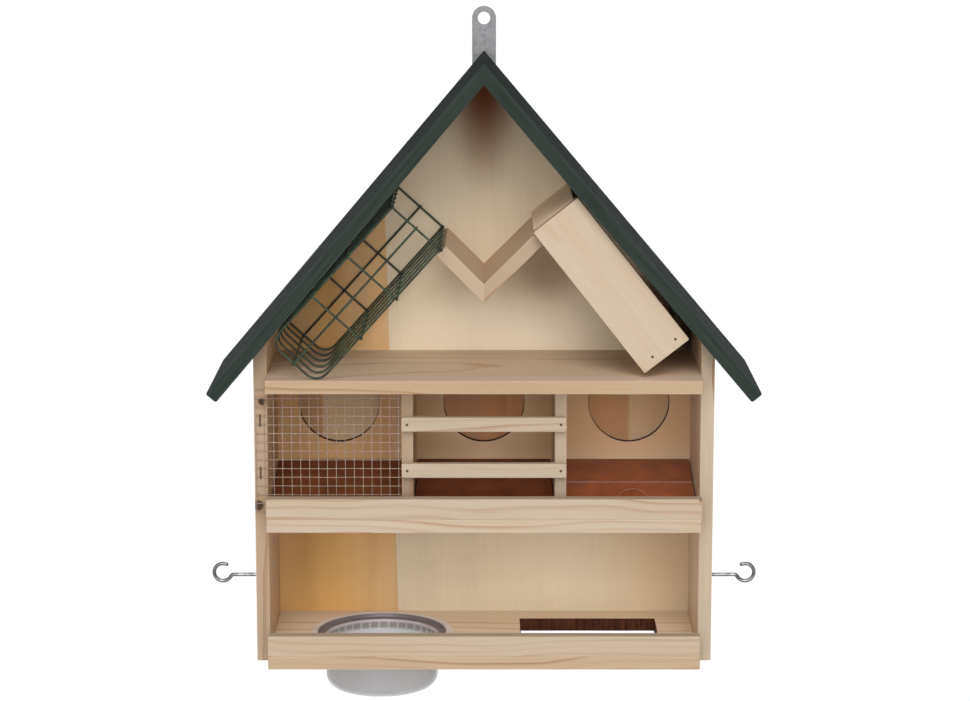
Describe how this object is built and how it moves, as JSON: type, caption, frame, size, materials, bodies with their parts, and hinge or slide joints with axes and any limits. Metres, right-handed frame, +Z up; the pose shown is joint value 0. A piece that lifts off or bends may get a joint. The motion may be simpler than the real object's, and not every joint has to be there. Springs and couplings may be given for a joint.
{
  "type": "bird feeding house",
  "caption": "Gabled pine bird feeding house with a green roof, food rooms filled from the back, a fat cage, a drinking bowl, side hooks and a hanger plate.",
  "frame": {"origin": "centre of the hole in the hanger plate, half way through the plate", "axes": "+X to the right seen from the front, +Y from the front to the back, +Z up"},
  "size_m": [0.3996, 0.136, 0.4925],
  "materials": {
    "pine": "raw planed pine, matt",
    "plywood": "raw plywood, matt",
    "roof_green": "dark green stain, satin",
    "hardboard": "brown faced board, satin",
    "galvanised": "galvanised, satin",
    "zinc": "zinc plated, bright",
    "cage_green": "plastic coated wire, gloss",
    "clear_plastic": "clear moulded plastic, gloss",
    "clear_pane": "clear sheet, gloss"
  },
  "bodies": {
    "house": {"left_wall": "pine", "right_wall": "pine", "attic_shelf": "pine", "middle_shelf": "pine", "middle_lip": "pine", "lower_lip": "pine", "floor_board": "pine", "left_divider": "pine", "right_divider": "pine", "upper_slat": "pine", "lower_slat": "pine", "ramp_cleats": "pine", "left_cradle_arm": "pine", "right_cradle_arm": "pine", "box_front_board": "pine", "box_top_end": "pine", "box_bottom_end": "pine", "back_panel": "plywood", "left_roof_board": "roof_green", "right_roof_board": "roof_green", "left_ramp": "hardboard", "middle_ramp": "hardboard", "right_ramp": "hardboard", "wire_mesh": "galvanised", "hanger_plate": "galvanised", "left_hook": "zinc", "right_hook": "zinc", "mesh_staples": "zinc", "hanger_screws": "zinc", "cover_pivot_screws": "zinc", "cover_stop_pins": "zinc", "slat_nails": "zinc", "box_nails": "zinc", "roof_nails": "zinc", "wall_nails": "zinc", "panel_nails": "zinc", "seed_pane": "clear_pane"},
    "left_cover": {"left_fill_cover": "plywood"},
    "middle_cover": {"middle_fill_cover": "plywood"},
    "right_cover": {"right_fill_cover": "plywood"},
    "bowl": {"water_bowl": "clear_plastic"},
    "cage": {"suet_cage": "cage_green"}
  },
  "joints": [
    {"name": "left_cover_swing", "type": "hinge", "parent": "house", "child": "left_cover", "pos_m": [-0.108, 0.0018, -0.24994], "axis": [0, 1, 0], "range_deg": [0, 100]},
    {"name": "middle_cover_swing", "type": "hinge", "parent": "house", "child": "middle_cover", "pos_m": [0, 0.0018, -0.24994], "axis": [0, 1, 0], "range_deg": [0, 100]},
    {"name": "right_cover_swing", "type": "hinge", "parent": "house", "child": "right_cover", "pos_m": [0.108, 0.0018, -0.24994], "axis": [0, 1, 0], "range_deg": [0, 100]},
    {"name": "bowl_lift", "type": "slide", "parent": "house", "child": "bowl", "axis": [0, 0, 1], "range_m": [0, 0.042]},
    {"name": "cage_draw", "type": "slide", "parent": "house", "child": "cage", "axis": [0, -1, 0], "range_m": [0, 0.11]}
  ]
}
